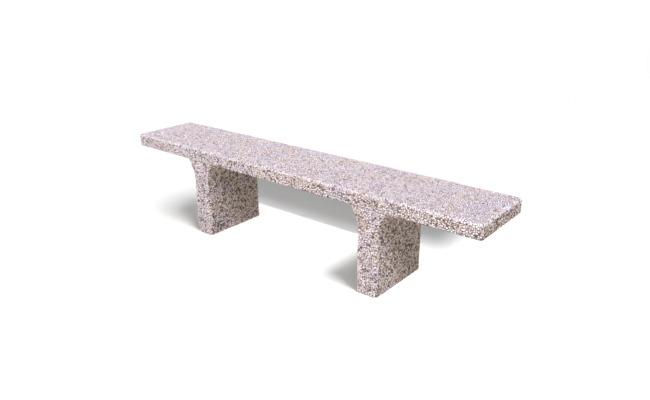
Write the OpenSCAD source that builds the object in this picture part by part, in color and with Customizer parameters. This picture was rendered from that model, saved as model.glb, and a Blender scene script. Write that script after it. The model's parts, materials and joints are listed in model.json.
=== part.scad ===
// Backless bench of three washed-concrete castings: a seat slab on two haunched legs.
// X runs along the seat, Y across it, Z up. The origin is on the ground under the seat's centre.

/* [Seat slab] */
// Length of the seat along X
seat_length = 2000; // [1800:10:2300]
// Depth of the seat and of both legs along Y
seat_depth = 350; // [330:5:420]
// Height of the seat's top above the ground
seat_height = 450; // [420:5:500]
// Thickness of the slab
slab_thickness = 62; // [54:1:80]
// Radius of the slab's corners in plan
slab_corner_radius = 14; // [13:1:40]
// Radius of the slab's top edges
slab_top_radius = 12; // [6:1:12]
// Radius of the slab's bottom edges
slab_bottom_radius = 2; // [1:0.5:6]

/* [Legs] */
// Thickness of a leg along X
leg_thickness = 105; // [96:1:130]
// Distance between the centres of the legs
leg_spacing = 1020; // [940:10:1100]
// Radius of the legs' upright corners
leg_corner_radius = 14; // [10:1:28]
// How far the haunch under the seat stands out from the leg's broad face
haunch_reach = 35; // [25:1:45]
// Height of the haunch
haunch_height = 70; // [55:1:85]
// Radius of the hollow where the haunch meets the leg
haunch_fillet = 80; // [40:5:110]

/* [Joint between slab and leg] */
// Thickness of the mortar bed
bed_thickness = 3; // [2:0.5:6]
// How far the bed is raked back from the leg head's edge
bed_rake = 1; // [0.5:0.5:5]
// Diameter of the steel dowels
dowel_diameter = 16; // [12:1:16]
// Length of the steel dowels
dowel_length = 120; // [100:5:120]
// Distance between a leg's two dowels
dowel_spacing = 160; // [156:2:164]
// Diameter of the grouted dowel sockets
dowel_socket_diameter = 24; // [20:1:26]
// Depth of the dowel socket in the slab
slab_socket_depth = 34; // [30:1:36]
// Depth of the dowel socket in the leg
leg_socket_depth = 90; // [88:1:95]

/* [Slab reinforcement] */
// Diameter of the bars along the slab
long_bar_diameter = 10; // [8:1:12]
// Diameter of the bars across the slab
cross_bar_diameter = 6; // [5:1:8]
// Concrete left over the ends of the slab's bars
bar_end_cover = 30; // [25:1:40]
// Concrete beside the outermost bars across the slab
cross_bar_margin = 65; // [60:1:70]
// Wire diameter of the ties
tie_wire_diameter = 1.4; // [1.2:0.1:1.6]

/* [Leg reinforcement] */
// Diameter of the upright bars
upright_diameter = 8; // [6:1:10]
// Diameter of the links around the uprights
link_diameter = 6; // [5:1:8]
// Concrete between a link and the leg's broad face
link_cover = 19; // [17:1:22]
// Concrete between a link and the leg's narrow face
link_end_cover = 26; // [25:1:30]
// Number of links up a leg
link_count = 3; // [2:1:3]
// Height of the lowest link
first_link_height = 45; // [40:1:50]
// Distance between links
link_pitch = 120; // [110:5:120]

/* [Threaded sockets] */
// Outer diameter of a socket
socket_diameter = 18; // [16:1:20]
// Bore of a socket, the minor diameter of its M12 thread
socket_bore = 10.2; // [10.1:0.1:10.4]
// Length of the slab's lifting sockets
lift_socket_length = 36; // [34:1:38]
// Length of the foot sockets
foot_socket_length = 60; // [55:1:65]
// Distance between a foot's two sockets
foot_socket_spacing = 200; // [196:2:204]
// Diameter of the anchor pin through a socket
anchor_pin_diameter = 8; // [6:1:8]
// Length of the anchor pin
anchor_pin_length = 60; // [50:1:70]

/* [Hidden] */
$fn = 48;
leg_facets = 32;
wire_facets = 16;
cut_margin = 1;

slab_bottom = seat_height - slab_thickness;
leg_height = slab_bottom - bed_thickness;
leg_x = leg_spacing / 2;

// Haunch: its slope leans out from the upright by haunch_lean degrees, and its hollow
// starts at haunch_start.
haunch_lean = atan(haunch_reach / haunch_height);
haunch_start = leg_height - haunch_height - haunch_fillet * tan(haunch_lean / 2);
hollow_steps = 3;
slice = 0.1;

// Dowels
dowel_bottom = (leg_height - leg_socket_depth + slab_bottom + slab_socket_depth - dowel_length) / 2;

// Slab mesh: the cross bars lie under the long bars, and the pair is centred in the slab.
mesh_bottom = slab_bottom + (slab_thickness - long_bar_diameter - cross_bar_diameter) / 2;
cross_bar_z = mesh_bottom + cross_bar_diameter / 2;
long_bar_z = mesh_bottom + cross_bar_diameter + long_bar_diameter / 2;
outer_bar_y = 130;
inner_bar_y = 40;
long_bar_y = [-outer_bar_y, -inner_bar_y, inner_bar_y, outer_bar_y];
cross_bar_count = 12;
cross_bar_pitch = (seat_length - 2 * cross_bar_margin) / (cross_bar_count - 1);

// Ties: a loop clears the two touching bars inside it by tie_slack.
tie_slack = 0.8;
mesh_tie_z = mesh_bottom + (long_bar_diameter + cross_bar_diameter) / 2;
mesh_tie_radius = (long_bar_diameter + cross_bar_diameter + tie_wire_diameter) / 2 + tie_slack;

// Leg cage
link_x = leg_thickness / 2 - link_cover - link_diameter / 2;
link_y = seat_depth / 2 - link_end_cover - link_diameter / 2;
upright_x = link_x - (link_diameter + upright_diameter) / 2;
corner_upright_y = link_y - (link_diameter + upright_diameter) / 2;
upright_y = [-corner_upright_y, 0, corner_upright_y];
link_weld = 0.5;
foot_cover = 30;
head_cover = 19;
upright_top = leg_height - head_cover;
head_bar_z = upright_top - upright_diameter / 2;
head_bar_length = 112;

// Threaded sockets
lift_socket_x = 340;
lift_socket_y = 85;
socket_recess = 2;
socket_solid_end = 14;
pin_inset = 6;
plug_stem = 10;
plug_slot = [12, 1.6, 1];

concrete = [0.77, 0.70, 0.68];
mortar = [0.66, 0.62, 0.60];
grout = [0.55, 0.54, 0.52];
steel = [0.45, 0.36, 0.30];
zinc = [0.66, 0.67, 0.69];
plug_grey = [0.30, 0.31, 0.32];

// ---------------------------------------------------------------- helpers

// Section through a slab edge, from its axis at x = 0 out to half_width.
module edge_section(half_width) {
    low = slab_bottom_radius;
    high = slab_top_radius;
    translate([0, low]) square([half_width, slab_thickness - low - high]);
    square([half_width - low, low]);
    translate([half_width - low, low]) circle(low);
    translate([0, slab_thickness - high]) square([half_width - high, high]);
    translate([half_width - high, slab_thickness - high]) circle(high);
}

// Prism along Y whose cross-section in X and Z is the given drawing and its mirror image.
module along_y(length) {
    rotate([90, 0, 0])
        linear_extrude(length, center = true) {
            children();
            mirror([1, 0]) children();
        }
}

module rounded_plate(size, radius, height) {
    linear_extrude(height) {
        square([size.x - 2 * radius, size.y], center = true);
        square([size.x, size.y - 2 * radius], center = true);
        at_corners(size.x / 2 - radius, size.y / 2 - radius) circle(radius);
    }
}

// Copies at (+-x, +-y).
module at_corners(x, y) {
    for (sx = [-1, 1], sy = [-1, 1]) translate([sx * x, sy * y]) children();
}

module x_bar(diameter, length) {
    rotate([0, 90, 0]) cylinder(d = diameter, h = length, center = true);
}

module y_bar(diameter, length) {
    rotate([90, 0, 0]) cylinder(d = diameter, h = length, center = true);
}

// Ring of tie wire about the Z axis.
module wire_ring(radius) {
    rotate_extrude() translate([radius, 0]) circle(d = tie_wire_diameter, $fn = wire_facets);
}

// ---------------------------------------------------------------- castings

module slab_blank() {
    corner_x = seat_length / 2 - slab_corner_radius;
    corner_y = seat_depth / 2 - slab_corner_radius;
    along_y(2 * corner_y) edge_section(seat_length / 2);
    rotate([0, 0, 90]) along_y(2 * corner_x) edge_section(seat_depth / 2);
    at_corners(corner_x, corner_y) rotate_extrude() edge_section(slab_corner_radius);
}

module seat_slab() {
    color(concrete)
        difference() {
            translate([0, 0, slab_bottom]) slab_blank();
            both_legs() dowel_sockets();
            long_bars();
            cross_bars();
            mesh_ties();
            lift_socket_pockets();
        }
}

// Points up the leg's +X face, in X and Z, from the foot of the hollow to the head. The hollow
// is hollow_steps - 1 short flats that touch an arc of radius haunch_fillet.
function face_points() = let(
    centre = [leg_thickness / 2 + haunch_fillet, haunch_start],
    reach = haunch_fillet / cos(haunch_lean / 2 / hollow_steps),
    bends = [
        for (i = [0.5 : hollow_steps])
            let(turn = haunch_lean * i / hollow_steps) centre + reach * [-cos(turn), sin(turn)]
    ]
) [each bends, [leg_thickness / 2 + haunch_reach, leg_height]];

// A thin level slice of the leg, half_width wide on each side.
module leg_slice(half_width) {
    rounded_plate([2 * half_width, seat_depth], leg_corner_radius, slice, $fn = leg_facets);
}

module leg_blank() {
    points = face_points();
    rounded_plate([leg_thickness, seat_depth], leg_corner_radius, points[0].y);
    for (i = [0 : hollow_steps - 1])
        hull() {
            translate([0, 0, points[i].y]) leg_slice(points[i].x);
            translate([0, 0, points[i + 1].y - slice]) leg_slice(points[i + 1].x);
        }
}

module leg() {
    color(concrete)
        difference() {
            leg_blank();
            dowel_sockets();
            uprights();
            links();
            head_bars();
            foot_socket_pockets();
        }
}

// ---------------------------------------------------------------- joint

module both_legs() {
    for (side = [-1, 1]) translate([side * leg_x, 0, 0]) children();
}

module at_dowels(z) {
    for (side = [-1, 1]) translate([0, side * dowel_spacing / 2, z]) children();
}

module dowel_sockets() {
    bottom = leg_height - leg_socket_depth;
    at_dowels(bottom)
        cylinder(d = dowel_socket_diameter, h = slab_bottom + slab_socket_depth - bottom);
}

module dowels() {
    color(zinc) at_dowels(dowel_bottom) cylinder(d = dowel_diameter, h = dowel_length);
}

module dowel_grout() {
    color(grout)
        difference() {
            dowel_sockets();
            dowels();
        }
}

module bed() {
    size = [leg_thickness + 2 * haunch_reach - 2 * bed_rake, seat_depth - 2 * bed_rake];
    color(mortar)
        difference() {
            translate([0, 0, leg_height])
                rounded_plate(size, leg_corner_radius - bed_rake, bed_thickness);
            dowel_sockets();
        }
}

// ---------------------------------------------------------------- slab reinforcement

function cross_bar_x(i) = -seat_length / 2 + cross_bar_margin + i * cross_bar_pitch;

module long_bars() {
    for (y = long_bar_y)
        translate([0, y, long_bar_z])
            x_bar(long_bar_diameter, seat_length - 2 * bar_end_cover);
}

module cross_bars() {
    for (i = [0 : cross_bar_count - 1])
        translate([cross_bar_x(i), 0, cross_bar_z])
            y_bar(cross_bar_diameter, seat_depth - 2 * bar_end_cover);
}

// Diagonal wire loops around every second crossing of the mesh.
module mesh_ties() {
    for (i = [0 : cross_bar_count - 1], j = [0 : len(long_bar_y) - 1])
        if ((i + j) % 2 == 0)
            translate([cross_bar_x(i), long_bar_y[j], mesh_tie_z])
                rotate([0, 0, 45])
                rotate([90, 0, 0])
                wire_ring(mesh_tie_radius);
}

// ---------------------------------------------------------------- leg reinforcement

module uprights() {
    for (side = [-1, 1], y = upright_y)
        translate([side * upright_x, y, foot_cover])
            cylinder(d = upright_diameter, h = upright_top - foot_cover);
}

// One link of straight bars, welded to each other and to the uprights that it goes round. The
// two across the leg lie on the two along it.
module link() {
    for (side = [-1, 1]) {
        translate([side * link_x, 0, 0]) y_bar(link_diameter, 2 * link_y + link_diameter);
        translate([0, side * link_y, link_diameter - link_weld])
            x_bar(link_diameter, 2 * link_x + link_diameter);
    }
}

function link_z(i) = first_link_height + i * link_pitch;

module links() {
    for (i = [0 : link_count - 1]) translate([0, 0, link_z(i)]) link();
}

// Bars across the haunched head, each lying against a pair of uprights.
module head_bars() {
    for (y = upright_y) {
        beside = y > 0 ? -upright_diameter : upright_diameter;
        translate([0, y + beside, head_bar_z]) x_bar(upright_diameter, head_bar_length);
    }
}

// ---------------------------------------------------------------- threaded sockets

// Socket with its mouth at z = 0, its bore upwards and a cross hole through its solid end.
module socket(length) {
    difference() {
        cylinder(d = socket_diameter, h = length);
        translate([0, 0, -cut_margin])
            cylinder(d = socket_bore, h = length - socket_solid_end + cut_margin);
        translate([0, 0, length - pin_inset]) x_bar(anchor_pin_diameter, 2 * socket_diameter);
    }
}

module at_lift_sockets() {
    at_corners(lift_socket_x, lift_socket_y)
        translate([0, 0, slab_bottom + socket_recess]) children();
}

module lift_sockets() {
    at_lift_sockets() socket(lift_socket_length - socket_recess);
}

module lift_pins() {
    at_lift_sockets()
        translate([0, 0, lift_socket_length - socket_recess - pin_inset])
        x_bar(anchor_pin_diameter, anchor_pin_length);
}

module socket_plugs() {
    at_lift_sockets() {
        cylinder(d = socket_bore, h = plug_stem);
        difference() {
            translate([0, 0, -socket_recess]) cylinder(d = socket_diameter, h = socket_recess);
            translate([0, 0, -socket_recess])
                cube([plug_slot.x, plug_slot.y, 2 * plug_slot.z], center = true);
        }
    }
}

module lift_socket_pockets() {
    at_lift_sockets()
        translate([0, 0, -socket_recess - cut_margin])
        cylinder(d = socket_diameter, h = lift_socket_length + cut_margin);
    lift_pins();
}

module at_foot_sockets() {
    for (side = [-1, 1]) translate([0, side * foot_socket_spacing / 2, 0]) children();
}

module foot_sockets() {
    at_foot_sockets() rotate([0, 0, 90]) socket(foot_socket_length);
}

module foot_pins() {
    at_foot_sockets()
        translate([0, 0, foot_socket_length - pin_inset])
        y_bar(anchor_pin_diameter, anchor_pin_length);
}

module foot_socket_pockets() {
    at_foot_sockets()
        translate([0, 0, -cut_margin])
        cylinder(d = socket_diameter, h = foot_socket_length + cut_margin);
    foot_pins();
}

// ---------------------------------------------------------------- placed nodes

module at_left() { translate([-leg_x, 0, 0]) children(); }
module at_right() { translate([leg_x, 0, 0]) children(); }

module left_leg() { at_left() leg(); }
module right_leg() { at_right() leg(); }
module left_bed() { at_left() bed(); }
module right_bed() { at_right() bed(); }
module left_dowels() { at_left() dowels(); }
module right_dowels() { at_right() dowels(); }
module left_dowel_grout() { at_left() dowel_grout(); }
module right_dowel_grout() { at_right() dowel_grout(); }
module slab_long_bars() { color(steel) long_bars(); }
module slab_cross_bars() { color(steel) cross_bars(); }
module slab_tie_wires() { color(steel) mesh_ties(); }
module slab_lift_sockets() { color(zinc) lift_sockets(); }
module slab_socket_pins() { color(zinc) lift_pins(); }
module slab_socket_plugs() { color(plug_grey) socket_plugs(); }
module left_uprights() { color(steel) at_left() uprights(); }
module right_uprights() { color(steel) at_right() uprights(); }
module left_links() { color(steel) at_left() links(); }
module right_links() { color(steel) at_right() links(); }
module left_head_bars() { color(steel) at_left() head_bars(); }
module right_head_bars() { color(steel) at_right() head_bars(); }
module left_foot_sockets() { color(zinc) at_left() foot_sockets(); }
module right_foot_sockets() { color(zinc) at_right() foot_sockets(); }
module left_foot_pins() { color(zinc) at_left() foot_pins(); }
module right_foot_pins() { color(zinc) at_right() foot_pins(); }

seat_slab();
left_leg();
right_leg();
left_bed();
right_bed();
left_dowels();
right_dowels();
left_dowel_grout();
right_dowel_grout();
slab_long_bars();
slab_cross_bars();
slab_tie_wires();
slab_lift_sockets();
slab_socket_pins();
slab_socket_plugs();
left_uprights();
right_uprights();
left_links();
right_links();
left_head_bars();
right_head_bars();
left_foot_sockets();
right_foot_sockets();
left_foot_pins();
right_foot_pins();
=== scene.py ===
"""Looks of the washed-concrete backless bench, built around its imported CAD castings.

Each casting is shown as two kinds of piece. Its matrix is the CAD casting with the exposed skin
washed back by a few millimetres. Its stones are closed rounded pebbles half sunk in that matrix,
with their tops on the casting's true surface, and each piece of them holds one kind of stone.
"""

import json
import math

import bmesh
import bpy
import numpy as np
from mathutils import Euler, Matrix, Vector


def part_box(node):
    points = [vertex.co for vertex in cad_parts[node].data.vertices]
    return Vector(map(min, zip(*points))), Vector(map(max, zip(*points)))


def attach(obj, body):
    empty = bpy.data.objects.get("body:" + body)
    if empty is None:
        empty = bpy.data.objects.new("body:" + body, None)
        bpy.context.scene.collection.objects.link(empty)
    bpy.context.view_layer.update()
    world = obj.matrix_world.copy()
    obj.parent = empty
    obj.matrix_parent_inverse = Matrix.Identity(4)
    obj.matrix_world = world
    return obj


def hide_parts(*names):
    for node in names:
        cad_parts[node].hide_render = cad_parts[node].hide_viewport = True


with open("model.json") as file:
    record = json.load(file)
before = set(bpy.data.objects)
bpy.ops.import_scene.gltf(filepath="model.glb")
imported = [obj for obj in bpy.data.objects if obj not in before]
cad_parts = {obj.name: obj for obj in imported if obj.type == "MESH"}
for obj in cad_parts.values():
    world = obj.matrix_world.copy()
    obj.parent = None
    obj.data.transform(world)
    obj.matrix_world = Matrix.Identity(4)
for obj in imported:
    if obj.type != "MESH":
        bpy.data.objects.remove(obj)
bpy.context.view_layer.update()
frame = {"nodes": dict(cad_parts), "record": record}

# ---------------------------------------------------------------- sizes, in metres

MM = 0.001

# The castings' sizes, from the frame
slab_low, slab_high = (np.array(corner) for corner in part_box("seat_slab"))
leg_low, leg_high = (np.array(corner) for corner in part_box("left_leg"))
SLAB_HALF_X, SLAB_HALF_Y = slab_high[:2]
SLAB_BOTTOM, SLAB_TOP = slab_low[2], slab_high[2]
LEG_HALF_Y, LEG_HEIGHT = leg_high[1:]
LEG_X = (leg_low[0] + leg_high[0]) / 2
HEAD_HALF_X = leg_high[0] - LEG_X

# The castings' radii and haunches, as in part.scad
SLAB_CORNER = 14 * MM
SLAB_TOP_EDGE = 12 * MM
SLAB_BOTTOM_EDGE = 2 * MM
LEG_CORNER = 14 * MM
HAUNCH_REACH = 35 * MM
HAUNCH_HEIGHT = 70 * MM
HAUNCH_FILLET = 80 * MM
LEG_HALF_X = HEAD_HALF_X - HAUNCH_REACH
HAUNCH_LEAN = math.atan2(HAUNCH_REACH, HAUNCH_HEIGHT)
HOLLOW_START = LEG_HEIGHT - HAUNCH_HEIGHT - HAUNCH_FILLET * math.tan(HAUNCH_LEAN / 2)
HOLLOW_END = HOLLOW_START + HAUNCH_FILLET * math.sin(HAUNCH_LEAN)

# Washed surface
WASH_DEPTH = 2.6 * MM
TOP_WASH_DEPTH = 1.8 * MM  # the seat's top is washed more lightly
END_WASH_EXTRA = 0.9 * MM  # the legs' faces towards the bench's ends are washed more deeply
SKIN = 0.6 * MM  # a casting's vertex this close to its true surface belongs to the skin
WELD = 0.02 * MM
SHARP_FROM = math.radians(35)

random = np.random.default_rng(18)

# ---------------------------------------------------------------- shapes of the castings


def leg_half_x(z):
    """Half the leg's width along X at height z, and how fast it grows with height."""
    rise = np.clip(z - HOLLOW_START, 0, HOLLOW_END - HOLLOW_START)
    arc = np.sqrt(HAUNCH_FILLET**2 - rise**2)
    slope = rise / arc
    above = np.maximum(z - HOLLOW_END, 0)
    return LEG_HALF_X + HAUNCH_FILLET - arc + above * slope, slope


def rim_distance(x, y, half_x, half_y, radius):
    """Distance outside a rounded rectangle, and the outward direction there."""
    qx = np.abs(x) - half_x + radius
    qy = np.abs(y) - half_y + radius
    ox, oy = np.maximum(qx, 0), np.maximum(qy, 0)
    corner = np.hypot(ox, oy)
    distance = corner + np.minimum(np.maximum(qx, qy), 0) - radius
    on_corner = (qx > 0) & (qy > 0)
    along_x = np.where(on_corner, ox / np.maximum(corner, 1e-9), qx > qy)
    along_y = np.where(on_corner, oy / np.maximum(corner, 1e-9), qx <= qy)
    return distance, along_x * np.sign(x), along_y * np.sign(y)


def rim_point(half_x, half_y, radius, along):
    """Point and outward direction at a distance along a quarter of a rounded rectangle,
    from the middle of its +X side to the middle of its +Y side."""
    straight = half_y - radius
    bend = np.clip(along - straight, 0, radius * math.pi / 2) / radius
    past = np.maximum(along - straight - radius * math.pi / 2, 0)
    x = half_x - radius + radius * np.cos(bend) - past
    y = np.minimum(along, straight) + radius * np.sin(bend)
    return x, y, np.cos(bend), np.sin(bend)


def rim_length(half_x, half_y, radius):
    return half_x + half_y - 2 * radius + radius * math.pi / 2


def slab_wash(points):
    """How far each of the slab's vertices is washed back."""
    x, y, z = points.T
    inside, out_x, out_y = rim_distance(x, y, SLAB_HALF_X, SLAB_HALF_Y, SLAB_CORNER)
    shift = np.zeros_like(points)
    top, bottom = (SLAB_TOP_EDGE, z - SLAB_TOP, 1), (SLAB_BOTTOM_EDGE, SLAB_BOTTOM - z, 0)
    for edge, side, up in (top, bottom):
        u, v = inside + edge, side + edge
        round_edge = (u > 0) & (v > 0)
        reach = np.hypot(u, v)
        distance = np.where(round_edge, reach - edge, np.maximum(inside, side))
        level = np.where(round_edge, u / np.maximum(reach, 1e-9), u > v)
        rise = np.where(round_edge, v / np.maximum(reach, 1e-9), u <= v) * up
        skin = (distance > -SKIN) & ((v > 0) | ((u > 0) & (v > -edge)))
        level, rise = level * WASH_DEPTH, rise * TOP_WASH_DEPTH
        here = np.stack([level * out_x, level * out_y, rise], axis=1)
        shift = np.where(skin[:, None], here, shift)
    between = (z < SLAB_TOP - SLAB_TOP_EDGE) & (z > SLAB_BOTTOM + SLAB_BOTTOM_EDGE)
    sides = (inside > -SKIN) & between
    flat = np.stack([out_x, out_y, np.zeros_like(x)], axis=1) * WASH_DEPTH
    return np.where(sides[:, None], flat, shift)


def leg_wash(points, centre_x):
    """How far each of a leg's vertices is washed back."""
    x, y, z = points.T
    half_x, _ = leg_half_x(z)
    inside, out_x, out_y = rim_distance(x - centre_x, y, half_x, LEG_HALF_Y, LEG_CORNER)
    skin = inside > -SKIN
    depth = skin * (WASH_DEPTH + END_WASH_EXTRA * np.abs(out_x))
    return np.stack([depth * out_x, depth * out_y, np.zeros_like(x)], axis=1)


# ---------------------------------------------------------------- material nodes


class Nodes:
    """Short calls for building one material's node tree."""

    def __init__(self, name):
        self.material = bpy.data.materials.new(name)
        self.material.use_nodes = True
        self.tree = self.material.node_tree
        self.shader = self.tree.nodes["Principled BSDF"]
        self.place = self.add("ShaderNodeTexCoord").outputs["Object"]

    def add(self, kind, **settings):
        node = self.tree.nodes.new(kind)
        for key, value in settings.items():
            setattr(node, key, value)
        return node

    def feed(self, socket, value):
        if isinstance(value, bpy.types.NodeSocket):
            self.tree.links.new(value, socket)
        elif value is not None:
            socket.default_value = value

    def noise(self, size, detail=2.0, roughness=0.5):
        """Noise whose blotches are about size metres across."""
        node = self.add("ShaderNodeTexNoise")
        self.feed(node.inputs["Vector"], self.place)
        node.inputs["Scale"].default_value = 1 / size
        node.inputs["Detail"].default_value = detail
        node.inputs["Roughness"].default_value = roughness
        return node.outputs["Fac"]

    def cells(self, size):
        """Flat cells about size metres across, each in a colour of its own."""
        node = self.add("ShaderNodeTexVoronoi")
        self.feed(node.inputs["Vector"], self.place)
        node.inputs["Scale"].default_value = 1 / size
        return node.outputs["Color"]

    def ramp(self, factor, *stops):
        """Colours or greys at places from 0 to 1."""
        node = self.add("ShaderNodeValToRGB")
        self.feed(node.inputs["Fac"], factor)
        elements = node.color_ramp.elements
        while len(elements) < len(stops):
            elements.new(0.5)
        for element, (place, colour) in zip(elements, stops):
            element.position = place
            element.color = (*(colour if isinstance(colour, tuple) else (colour,) * 3), 1)
        return node.outputs["Color"]

    def mix(self, factor, a, b, blend="MIX"):
        node = self.add("ShaderNodeMix", data_type="RGBA", blend_type=blend)
        self.feed(node.inputs[0], factor)
        for socket, value in ((node.inputs[6], a), (node.inputs[7], b)):
            self.feed(socket, (*value, 1) if isinstance(value, tuple) else value)
        return node.outputs[2]

    def maths(self, operation, a, b=None):
        node = self.add("ShaderNodeMath", operation=operation)
        self.feed(node.inputs[0], a)
        self.feed(node.inputs[1], b)
        return node.outputs[0]

    def attribute(self, name):
        node = self.add("ShaderNodeAttribute", attribute_name=name)
        return node.outputs["Fac"]

    def bump(self, height, depth):
        node = self.add("ShaderNodeBump")
        self.feed(node.inputs["Height"], height)
        node.inputs["Distance"].default_value = depth
        self.tree.links.new(node.outputs["Normal"], self.shader.inputs["Normal"])

    def finish(self, colour, roughness=0.8, metallic=0.0, specular=0.5):
        self.feed(self.shader.inputs["Base Color"], colour)
        self.feed(self.shader.inputs["Roughness"], roughness)
        self.shader.inputs["Metallic"].default_value = metallic
        self.shader.inputs["Specular IOR Level"].default_value = specular
        return self.material


def weathered(n, colour):
    """The colour with the casting's broad patches over it, some creamy and some greyer."""
    patches = n.noise(110 * MM, detail=2, roughness=0.6)
    creamy, plain, greyer = (1.0, 0.975, 0.92), (1.0, 1.0, 1.0), (0.94, 0.95, 1.0)
    tint = n.ramp(patches, (0.36, creamy), (0.5, plain), (0.64, greyer))
    return n.mix(1.0, colour, tint, "MULTIPLY")


def matrix_material():
    """Sandy cement between the stones: pale and pinkish, darker in its pores and stains. Its paste
    is kept dark, partly the cement's own colour and partly painted shade in the gaps between the
    stones.
    """
    n = Nodes("washed matrix")
    grain = n.noise(0.9 * MM, detail=3, roughness=0.65)
    # painted shade in part: the dark paste and pores make the gaps between the stones read shaded
    pore, paste, sand = (0.11, 0.08, 0.065), (0.24, 0.185, 0.155), (0.42, 0.34, 0.30)
    cement = n.ramp(grain, (0.32, pore), (0.5, paste), (0.7, sand))
    n.bump(grain, 0.5 * MM)
    return n.finish(weathered(n, cement), n.ramp(grain, (0.3, 0.95), (0.7, 0.82)), specular=0.3)


STONES = {
    # kind: darkest and lightest colour, and roughness
    "dark": ((0.03, 0.022, 0.02), (0.12, 0.09, 0.08), 0.55),
    "brown": ((0.16, 0.095, 0.068), (0.37, 0.245, 0.185), 0.6),
    "tan": ((0.47, 0.35, 0.26), (0.71, 0.57, 0.46), 0.65),
    "rose": ((0.55, 0.40, 0.35), (0.78, 0.64, 0.58), 0.65),
    "pale": ((0.66, 0.57, 0.52), (0.85, 0.77, 0.72), 0.6),
}
MIXES = {
    # surface: share of each kind, in the order of STONES
    # painted light: the seat's top gets mostly pale and rose stones, so that it reads lighter than
    # the upright faces
    "seat top": (0.01, 0.05, 0.22, 0.38, 0.34),
    # painted highlight: the palest stones lie along the seat's rounded top edges, as a bright band
    # there
    "top edges": (0.01, 0.03, 0.16, 0.24, 0.56),
    # painted shade: the faces towards the bench's ends get more dark and brown stones, in pebbles
    # and grit, to darken and warm the shaded leg sides
    "end pebbles": (0.13, 0.14, 0.28, 0.13, 0.32),
    "end grit": (0.46, 0.21, 0.13, 0.03, 0.17),
    # painted shade in part: the upright faces' grit is mostly dark, partly real dark grit and
    # partly standing for the shadows between the stones
    "side pebbles": (0.07, 0.07, 0.21, 0.31, 0.34),
    "side grit": (0.46, 0.16, 0.11, 0.12, 0.15),
}


MOTTLING = 0.35  # within a stone, over the range of tones from stone to stone
GRIT_BELOW = 2.6 * MM  # a stone of a smaller radius is grit
TOP_RISE, EDGE_RISE = 0.95, 0.15  # how steeply the seat's top and its rounded edge face up
END_FACING = 0.7  # how squarely an end face looks along the bench


def kinds_of(normals, radii):
    """The kind of each stone, by the surface that it lies in and its size. The shares per surface
    carry painted light and shade: paler stones on the seat's top, the palest along its top edges as
    a painted highlight, and darker ones on the end faces and in the upright faces' grit as painted
    shade.
    """
    rise, endwise = normals[:, 2], np.abs(normals[:, 0])
    fine = radii < GRIT_BELOW
    end = endwise > END_FACING
    surfaces = (rise > TOP_RISE, rise > EDGE_RISE, end & ~fine, end, ~fine)
    limits = np.cumsum(list(MIXES.values()), axis=1)[np.select(surfaces, range(5), 5)]
    return (random.uniform(0, 1, (len(radii), 1)) > limits[:, :-1]).sum(axis=1)


def stone_material(kind):
    """River pebbles of one kind: each has its own tone, with mottling and a cement bloom."""
    dark, light, roughness = STONES[kind]
    n = Nodes(f"{kind} pebbles")
    mottling = n.maths("MULTIPLY", n.noise(2.2 * MM, 3), MOTTLING)
    tone = n.maths("ADD", n.attribute("tone"), mottling)
    own = n.ramp(tone, (0.1, dark), (1.2 / (1 + MOTTLING), light))
    bloom = n.ramp(n.noise(1.6 * MM, 4, 0.7), (0.52, 0.0), (0.72, 0.45))
    colour = n.mix(bloom, own, (0.62, 0.55, 0.52))
    n.bump(n.noise(0.8 * MM, 3), 0.15 * MM)
    dusty = n.ramp(bloom, (0.0, roughness), (0.45, 0.9))
    return n.finish(weathered(n, colour), dusty, specular=0.4)


def mortar_material():
    n = Nodes("bed mortar")
    sand = n.noise(1.1 * MM, detail=3, roughness=0.7)
    colour = n.ramp(sand, (0.3, (0.34, 0.27, 0.24)), (0.7, (0.58, 0.49, 0.45)))
    n.bump(sand, 0.6 * MM)
    return n.finish(colour, 0.95, specular=0.25)


def grout_material():
    n = Nodes("dowel grout")
    flecks = n.noise(1.5 * MM, detail=2)
    colour = n.ramp(flecks, (0.35, (0.28, 0.27, 0.26)), (0.65, (0.44, 0.43, 0.42)))
    n.bump(flecks, 0.3 * MM)
    return n.finish(colour, 0.92, specular=0.3)


def rusty_material(name, steel, rust, rust_share):
    """Mill-dark steel with patches of light rust."""
    n = Nodes(name)
    patches = n.ramp(n.noise(9 * MM, 4, 0.65), (0.62 - rust_share, 0.0), (0.74 - rust_share, 1.0))
    fine = n.noise(0.8 * MM, 3)
    colour = n.mix(patches, steel, n.ramp(fine, (0.3, tuple(0.6 * c for c in rust)), (0.7, rust)))
    n.bump(fine, 0.12 * MM)
    return n.finish(colour, n.ramp(patches, (0.0, 0.5), (1.0, 0.9)), metallic=0.6)


def zinc_material():
    n = Nodes("zinc plate")
    clouds = n.ramp(n.noise(6 * MM, 3), (0.3, (0.52, 0.54, 0.57)), (0.7, (0.68, 0.69, 0.71)))
    colour = n.mix(0.12, clouds, n.cells(4 * MM))
    return n.finish(colour, n.ramp(n.noise(2 * MM, 2), (0.3, 0.32), (0.7, 0.48)), metallic=1.0)


def plastic_material():
    n = Nodes("plug plastic")
    grain = n.noise(0.5 * MM, 2)
    colour = n.ramp(n.noise(5 * MM, 3), (0.3, (0.045, 0.047, 0.05)), (0.7, (0.07, 0.073, 0.078)))
    n.bump(grain, 0.05 * MM)
    return n.finish(colour, n.ramp(grain, (0.3, 0.5), (0.7, 0.65)), specular=0.45)


# ---------------------------------------------------------------- castings


def add_object(name, mesh, materials):
    piece = bpy.data.objects.new(name, mesh)
    bpy.context.scene.collection.objects.link(piece)
    for material in materials:
        mesh.materials.append(material)
    return piece


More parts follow.
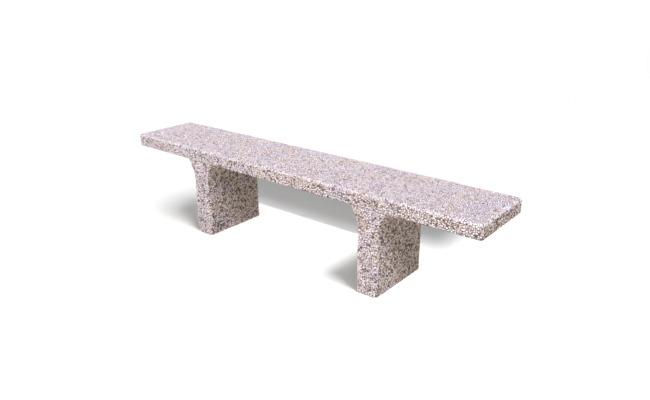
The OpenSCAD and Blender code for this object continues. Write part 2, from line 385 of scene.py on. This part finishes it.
def washed_matrix(node, wash, material):
    """Stands for a CAD casting: the same solid, hollows and all, with its skin washed back."""
    source = frame["nodes"][node]
    shape = bmesh.new()
    shape.from_mesh(source.data)
    shape.transform(source.matrix_world)
    bmesh.ops.remove_doubles(shape, verts=shape.verts, dist=WELD)
    mesh = bpy.data.meshes.new(f"{node}_matrix")
    shape.to_mesh(mesh)
    shape.free()
    points = np.empty(len(mesh.vertices) * 3)
    mesh.vertices.foreach_get("co", points)
    points = points.reshape(-1, 3)
    mesh.vertices.foreach_set("co", (points - wash(points)).ravel())
    mesh.set_sharp_from_angle(angle=SHARP_FROM)
    piece = add_object(mesh.name, mesh, [material])
    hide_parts(node)
    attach(piece, "root")
    return piece


# ---------------------------------------------------------------- stones


def slab_candidates(count):
    """Random places and outward directions on the slab's top, edges and sides."""
    side = SLAB_TOP - SLAB_BOTTOM - SLAB_TOP_EDGE - SLAB_BOTTOM_EDGE
    low_bend, high_bend = SLAB_BOTTOM_EDGE * math.pi / 2, SLAB_TOP_EDGE * math.pi / 2
    section = low_bend + side + high_bend
    flat_x, flat_y = SLAB_HALF_X - SLAB_TOP_EDGE, SLAB_HALF_Y - SLAB_TOP_EDGE
    around = rim_length(SLAB_HALF_X, SLAB_HALF_Y, SLAB_CORNER)
    on_top = flat_x * flat_y / (flat_x * flat_y + around * section)

    n_top = int(count * on_top)
    top = random.uniform((-flat_x, -flat_y), (flat_x, flat_y), (n_top, 2))
    inside, _, _ = rim_distance(*top.T, flat_x, flat_y, SLAB_CORNER - SLAB_TOP_EDGE)
    top = top[inside < 0]
    top_points = np.column_stack([top, np.full(len(top), SLAB_TOP)])
    top_normals = np.tile((0.0, 0.0, 1.0), (len(top), 1))

    n_sides = count - n_top
    up = random.uniform(0, section, n_sides)
    low = np.clip(up, 0, low_bend) / SLAB_BOTTOM_EDGE - math.pi / 2
    high = np.clip(up - low_bend - side, 0, high_bend) / SLAB_TOP_EDGE
    inset = SLAB_BOTTOM_EDGE * (1 - np.cos(low)) + SLAB_TOP_EDGE * (1 - np.cos(high))
    z = SLAB_BOTTOM + SLAB_BOTTOM_EDGE * (1 + np.sin(low)) + np.clip(up - low_bend, 0, side)
    z = z + SLAB_TOP_EDGE * np.sin(high)
    sizes = SLAB_HALF_X - inset, SLAB_HALF_Y - inset, SLAB_CORNER - inset
    along = random.uniform(0, around, n_sides)
    keep = along < rim_length(*sizes)
    x, y, out_x, out_y = rim_point(*sizes, np.minimum(along, rim_length(*sizes)))
    signs = random.choice((-1.0, 1.0), (2, n_sides))
    lean = low + high
    points = np.column_stack([x * signs[0], y * signs[1], z])[keep]
    level = np.cos(lean)
    normals = np.column_stack([level * out_x * signs[0], level * out_y * signs[1], np.sin(lean)])
    return np.vstack([top_points, points]), np.vstack([top_normals, normals[keep]])


def leg_candidates(count):
    """Random places and outward directions on the upright faces of a leg centred on x = 0."""
    z = random.uniform(0, LEG_HEIGHT, count)
    half_x, slope = leg_half_x(z)
    most = rim_length(HEAD_HALF_X, LEG_HALF_Y, LEG_CORNER) / math.cos(HAUNCH_LEAN)
    along = random.uniform(0, most, count) * np.cos(np.arctan(slope))
    keep = along < rim_length(half_x, LEG_HALF_Y, LEG_CORNER)
    x, y, out_x, out_y = rim_point(half_x, LEG_HALF_Y, LEG_CORNER, along)
    signs = random.choice((-1.0, 1.0), (2, count))
    normals = np.column_stack([out_x * signs[0], out_y * signs[1], -slope * out_x])[keep]
    normals /= np.linalg.norm(normals, axis=1)[:, None]
    return np.column_stack([x * signs[0], y * signs[1], z])[keep], normals


SIZES = (
    # smallest and largest radius, places tried per square metre
    (4.0 * MM, 5.4 * MM, 45000),
    (2.7 * MM, 3.7 * MM, 130000),
    (1.8 * MM, 2.4 * MM, 130000),
)
PACKING = 0.86  # how near two stones' centres may be, over the sum of their radii
EDGE_ROOM = 0.8  # how near a stone's centre may be to a casting's edge, over its radius
UPRIGHT = 0.98  # a surface whose direction is this nearly level counts as upright
EDGE_CUT = 0.1 * MM  # a stone that would pass a casting's lower edge ends this far above it


def scatter(candidates, area, low, high):
    """Stones that don't overlap, large ones first: places, directions and radii."""
    cell = 2 * SIZES[0][1]
    grid = {}
    kept = []
    near = [(i, j, k) for i in (-1, 0, 1) for j in (-1, 0, 1) for k in (-1, 0, 1)]
    for smallest, largest, tries in SIZES:
        points, normals = candidates(int(tries * area))
        radii = random.uniform(smallest, largest, len(points))
        upright = np.sqrt(np.maximum(1 - normals[:, 2] ** 2, 0))
        room = EDGE_ROOM * radii * upright
        fits = (points[:, 2] - room > low) & ((points[:, 2] + room < high) | (upright < UPRIGHT))
        points, normals, radii = points[fits], normals[fits], radii[fits]
        cells = np.floor(points / cell).astype(int).tolist()
        for p, n, r, (a, b, c) in zip(points.tolist(), normals.tolist(), radii.tolist(), cells):
            clear = True
            for i, j, k in near:
                for q, s in grid.get((a + i, b + j, c + k), ()):
                    gap = (r + s) * PACKING
                    if (p[0] - q[0]) ** 2 + (p[1] - q[1]) ** 2 + (p[2] - q[2]) ** 2 < gap * gap:
                        clear = False
                        break
                if not clear:
                    break
            if clear:
                grid.setdefault((a, b, c), []).append((p, r))
                kept.append((*p, *n, r))
    kept = np.array(kept)
    return kept[:, :3], kept[:, 3:6], kept[:, 6]


def pebble_shapes(sides, rings, variants):
    """Rounded closed pebbles of unit radius, with the top at z = 1, and their faces.
    rings are pairs of height and radius, from the bottom up."""
    turn = np.arange(sides) * 2 * math.pi / sides
    waves = np.arange(2, 5)[:, None] * turn
    shapes = []
    for _ in range(variants):
        phases, swells = random.uniform(0, 2 * math.pi, 3), random.uniform(0.03, 0.13, 3)
        outline = 1 + (swells[:, None] * np.cos(waves + phases[:, None])).sum(axis=0)
        stack = []
        for height, radius in rings:
            wobble = outline * radius * random.uniform(0.94, 1.06, sides)
            lift = height + random.uniform(-0.07, 0.07, sides)
            stack.append(np.column_stack([wobble * np.cos(turn), wobble * np.sin(turn), lift]))
        tip = np.array([[*random.uniform(-0.15, 0.15, 2), 1.0]])
        shapes.append(np.vstack([*stack, tip]))
    faces = [(0, i + 1, i) for i in range(1, sides - 1)]
    for ring in range(len(rings) - 1):
        base = ring * sides
        for i in range(sides):
            a, b = base + i, base + (i + 1) % sides
            faces += [(a, b, b + sides), (a, b + sides, a + sides)]
    last, tip = (len(rings) - 1) * sides, len(rings) * sides
    faces += [(last + i, last + (i + 1) % sides, tip) for i in range(sides)]
    return np.array(shapes), np.array(faces)


VARIANTS = 24
PEBBLES = pebble_shapes(8, ((-0.7, 0.5), (0.0, 1.0), (0.62, 0.8)), VARIANTS)
GRIT = pebble_shapes(6, ((-0.6, 0.55), (0.3, 0.95)), VARIANTS)
STRETCH = (0.82, 1.12)  # of a stone's width and length, over its radius
HEIGHT = (0.5, 0.68)  # of a stone from its middle to its top, over its radius
EXTRA_HEIGHT = 0.4 * MM
MOST_SUNK = 0.5 * MM  # below the casting's true surface
MOST_STONES = 4000  # in one piece


def stone_vertices(shapes, points, normals, radii, low, high):
    """Each stone's vertices, turned to the casting's surface and sunk until the stone's top
    meets it. A stone at the casting's lower or upper edge is cut off there."""
    count = len(points)
    picked = shapes[random.integers(0, len(shapes), count)]
    spin = random.uniform(0, 2 * math.pi, count)
    helper = np.where(np.abs(normals[:, 2:]) < 0.9, (0.0, 0.0, 1.0), (1.0, 0.0, 0.0))
    across = np.cross(helper, normals)
    across /= np.linalg.norm(across, axis=1)[:, None]
    other = np.cross(normals, across)
    first = np.cos(spin)[:, None] * across + np.sin(spin)[:, None] * other
    second = np.cross(normals, first)
    stretch = random.uniform(*STRETCH, (count, 2)) * radii[:, None]
    height = radii * random.uniform(*HEIGHT, count) + EXTRA_HEIGHT
    sunk = random.uniform(0.0, MOST_SUNK, count)
    centre = points - normals * (height + sunk)[:, None]
    placed = (
        centre[:, None]
        + picked[..., 0:1] * (first * stretch[:, :1])[:, None]
        + picked[..., 1:2] * (second * stretch[:, 1:])[:, None]
        + picked[..., 2:3] * (normals * height[:, None])[:, None]
    )
    placed[..., 2] = np.clip(placed[..., 2], low + EDGE_CUT, high)
    return placed


def stones_mesh(name, points, normals, radii, tones, low, high):
    """One mesh of closed pebbles, with each one's tone as an attribute."""
    vertices, faces, shade = [], [], []
    start = 0
    for (shapes, triangles), chosen in ((PEBBLES, radii > GRIT_BELOW), (GRIT, radii <= GRIT_BELOW)):
        placed = stone_vertices(shapes, points[chosen], normals[chosen], radii[chosen], low, high)
        count, per_stone = placed.shape[:2]
        offsets = start + per_stone * np.arange(count)
        vertices.append(placed.reshape(-1, 3))
        faces.append((triangles[None] + offsets[:, None, None]).reshape(-1, 3))
        shade.append(np.repeat(tones[chosen], per_stone))
        start += per_stone * count
    vertices, faces, shade = np.vstack(vertices), np.vstack(faces), np.concatenate(shade)
    mesh = bpy.data.meshes.new(name)
    mesh.vertices.add(len(vertices))
    mesh.vertices.foreach_set("co", vertices.ravel())
    mesh.loops.add(faces.size)
    mesh.loops.foreach_set("vertex_index", faces.ravel().astype(np.int32))
    mesh.polygons.add(len(faces))
    mesh.polygons.foreach_set("loop_start", np.arange(0, faces.size, 3, dtype=np.int32))
    mesh.polygons.foreach_set("loop_total", np.full(len(faces), 3, dtype=np.int32))
    mesh.update(calc_edges=True)
    mesh.validate()
    mesh.shade_smooth()
    mesh.attributes.new("tone", "FLOAT", "POINT").data.foreach_set("value", shade)
    return mesh


def add_stones(casting, candidates, area, low, high, shift_x):
    """A casting's stones, as pieces of one kind each, from left to right."""
    points, normals, radii = scatter(candidates, area, low, high)
    points = points + (shift_x, 0, 0)
    kind_of = kinds_of(normals, radii)
    tones = random.uniform(0, 1, len(points))
    for index, kind in enumerate(STONES):
        chosen = np.flatnonzero(kind_of == index)
        chosen = chosen[np.argsort(points[chosen, 0])]
        for place, part in enumerate(np.array_split(chosen, math.ceil(len(chosen) / MOST_STONES))):
            name = f"{casting}_{kind}_pebbles_{place + 1}"
            mesh = stones_mesh(
                name, points[part], normals[part], radii[part], tones[part], low, high
            )
            piece = add_object(name, mesh, [stone_materials[kind]])
            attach(piece, "root")


matrix = matrix_material()
stone_materials = {kind: stone_material(kind) for kind in STONES}

washed_matrix("seat_slab", slab_wash, matrix)
washed_matrix("left_leg", lambda points: leg_wash(points, LEG_X), matrix)
washed_matrix("right_leg", lambda points: leg_wash(points, -LEG_X), matrix)

slab_area = 4 * (
    SLAB_HALF_X * SLAB_HALF_Y
    + rim_length(SLAB_HALF_X, SLAB_HALF_Y, SLAB_CORNER) * (SLAB_TOP - SLAB_BOTTOM)
)
leg_area = 4 * rim_length(HEAD_HALF_X, LEG_HALF_Y, LEG_CORNER) * LEG_HEIGHT
add_stones("seat_slab", slab_candidates, slab_area, SLAB_BOTTOM, SLAB_TOP, 0)
for casting, x in (("left_leg", LEG_X), ("right_leg", -LEG_X)):
    add_stones(casting, leg_candidates, leg_area, 0, LEG_HEIGHT, x)

# ---------------------------------------------------------------- CAD nodes that stay

rebar = rusty_material("black bar", (0.10, 0.085, 0.08), (0.30, 0.13, 0.06), 0.16)
wire = rusty_material("annealed wire", (0.05, 0.047, 0.045), (0.20, 0.09, 0.045), 0.06)
FINISHES = {
    "bed_mortar": mortar_material(),
    "dowel_grout": grout_material(),
    "rebar_steel": rebar,
    "tie_wire": wire,
    "zinc_steel": zinc_material(),
    "plug_plastic": plastic_material(),
}
slots = {part["node"]: part["material_slot"] for part in frame["record"]["subparts"]}
for node, cad in frame["nodes"].items():
    finish = FINISHES.get(slots[node])
    for slot in cad.material_slots:
        slot.material = finish or matrix

# ---------------------------------------------------------------- stage, lights and camera

# The floor runs out past the edge of any view. Each of its areas takes one casting's shadow
# from a light of its own, and all are white in the open.
REACH = 150.0
LAP = 1 * MM  # so that no gap shows between two areas
LAP_DROP = 0.02 * MM  # each area lies this much below the one before
AREAS = {
    # name: left, right, front and back edge
    "floor_left": (-REACH, -0.1, -REACH, 0.3),
    "floor_right": (-0.1, REACH, -REACH, 0.3),
    "floor_back_left": (-REACH, -1.1, 0.3, REACH),
    "floor_back_middle": (-1.1, 0.2, 0.3, REACH),
    "floor_back_right": (0.2, REACH, 0.3, REACH),
}


def add_floor(name, depth, left, right, front, back, paint):
    """One area of the plain pale floor, which laps the ones beside it."""
    mesh = bpy.data.meshes.new(name)
    left, right, front, back = left - LAP, right + LAP, front - LAP, back + LAP
    outline = (left, front), (right, front), (right, back), (left, back)
    mesh.from_pydata([(x, y, -depth) for x, y in outline], [], [(0, 1, 2, 3)])
    floor = add_object(name, mesh, [paint])
    return floor


def add_sun(name, azimuth, elevation, spread, strength, colour, lit, shading=None):
    """A distant soft light on the objects in lit alone. Those in shading cast shadow in it, or
    all objects if none are given. Angles are in degrees, azimuth from +X towards +Y."""
    light = bpy.data.lights.new(name, "SUN")
    light.energy = strength
    light.angle = math.radians(spread)
    light.color = colour
    lamp = bpy.data.objects.new(name, light)
    lamp.rotation_euler = Euler((0, math.radians(90 - elevation), math.radians(azimuth)))
    bpy.context.scene.collection.objects.link(lamp)
    lamp.light_linking.receiver_collection = collect(f"lit by {name}", lit)
    if shading is not None:
        lamp.light_linking.blocker_collection = collect(f"shading {name}", shading)


def collect(name, pieces):
    collection = bpy.data.collections.new(name)
    for piece in pieces:
        collection.objects.link(piece)
    return collection


def floor_paint():
    n = Nodes("studio floor")
    shade = n.ramp(n.noise(0.5, 2), (0.3, (0.83, 0.83, 0.83)), (0.7, (0.84, 0.84, 0.84)))
    return n.finish(shade, 0.9, specular=0.0)


def set_world(ambient):
    """Soft light from all round, in front of a white backdrop."""
    world = bpy.data.worlds.new("studio")
    world.use_nodes = True
    bpy.context.scene.world = world
    tree = world.node_tree
    background = tree.nodes["Background"]
    background.inputs["Color"].default_value = (1, 1, 1, 1)
    rays = tree.nodes.new("ShaderNodeLightPath")
    strength = tree.nodes.new("ShaderNodeMix")
    strength.inputs[2].default_value = ambient
    strength.inputs[3].default_value = 1.0
    tree.links.new(rays.outputs["Is Camera Ray"], strength.inputs[0])
    tree.links.new(strength.outputs[0], background.inputs["Strength"])


bench = [piece for piece in bpy.context.scene.objects if piece.type == "MESH"]
slab, left_leg, right_leg = (
    [piece for piece in bench if piece.name.startswith(casting)]
    for casting in ("seat_slab", "left_leg", "right_leg")
)
paint = floor_paint()
floors = {
    name: add_floor(name, LAP_DROP * place, *edges, paint)
    for place, (name, edges) in enumerate(AREAS.items())
}
white = (1.0, 1.0, 1.0)
left_areas = [floors["floor_left"], floors["floor_back_left"]]
set_world(ambient=0.08)
# name, azimuth, elevation, spread, strength, colour, what it lights and what casts shadow
add_sun("bench light", -74.0, 61.5, 26.0, 4.9, (0.955, 1.02, 1.26), bench)
add_sun("floor fill", -90.0, 80.0, 30.0, 1.16, white, floors.values(), floors.values())
add_sun("left leg shadow light", -12.0, 42.0, 28.0, 3.95, white, left_areas, left_leg)
add_sun("right leg shadow light", -9.0, 64.0, 18.0, 3.6, white, [floors["floor_right"]], right_leg)
add_sun("slab shadow light", -90.0, 39.1, 14.2, 3.8, white, [floors["floor_back_middle"]], slab)
add_sun("slab end light", -52.0, 27.3, 9.0, 7.2, white, [floors["floor_back_right"]], slab)

camera = bpy.data.objects.new("camera", bpy.data.cameras.new("camera"))
camera.data.sensor_width = 36.0
camera.data.lens = 33.72
camera.data.clip_end = 500.0
camera.location = (1.7985, -2.0039, 1.2897)
camera.rotation_euler = Euler(math.radians(angle) for angle in (68.891, 0.44, 39.261))
bpy.context.scene.collection.objects.link(camera)
bpy.context.scene.camera = camera
bpy.context.scene.view_settings.view_transform = "Standard"
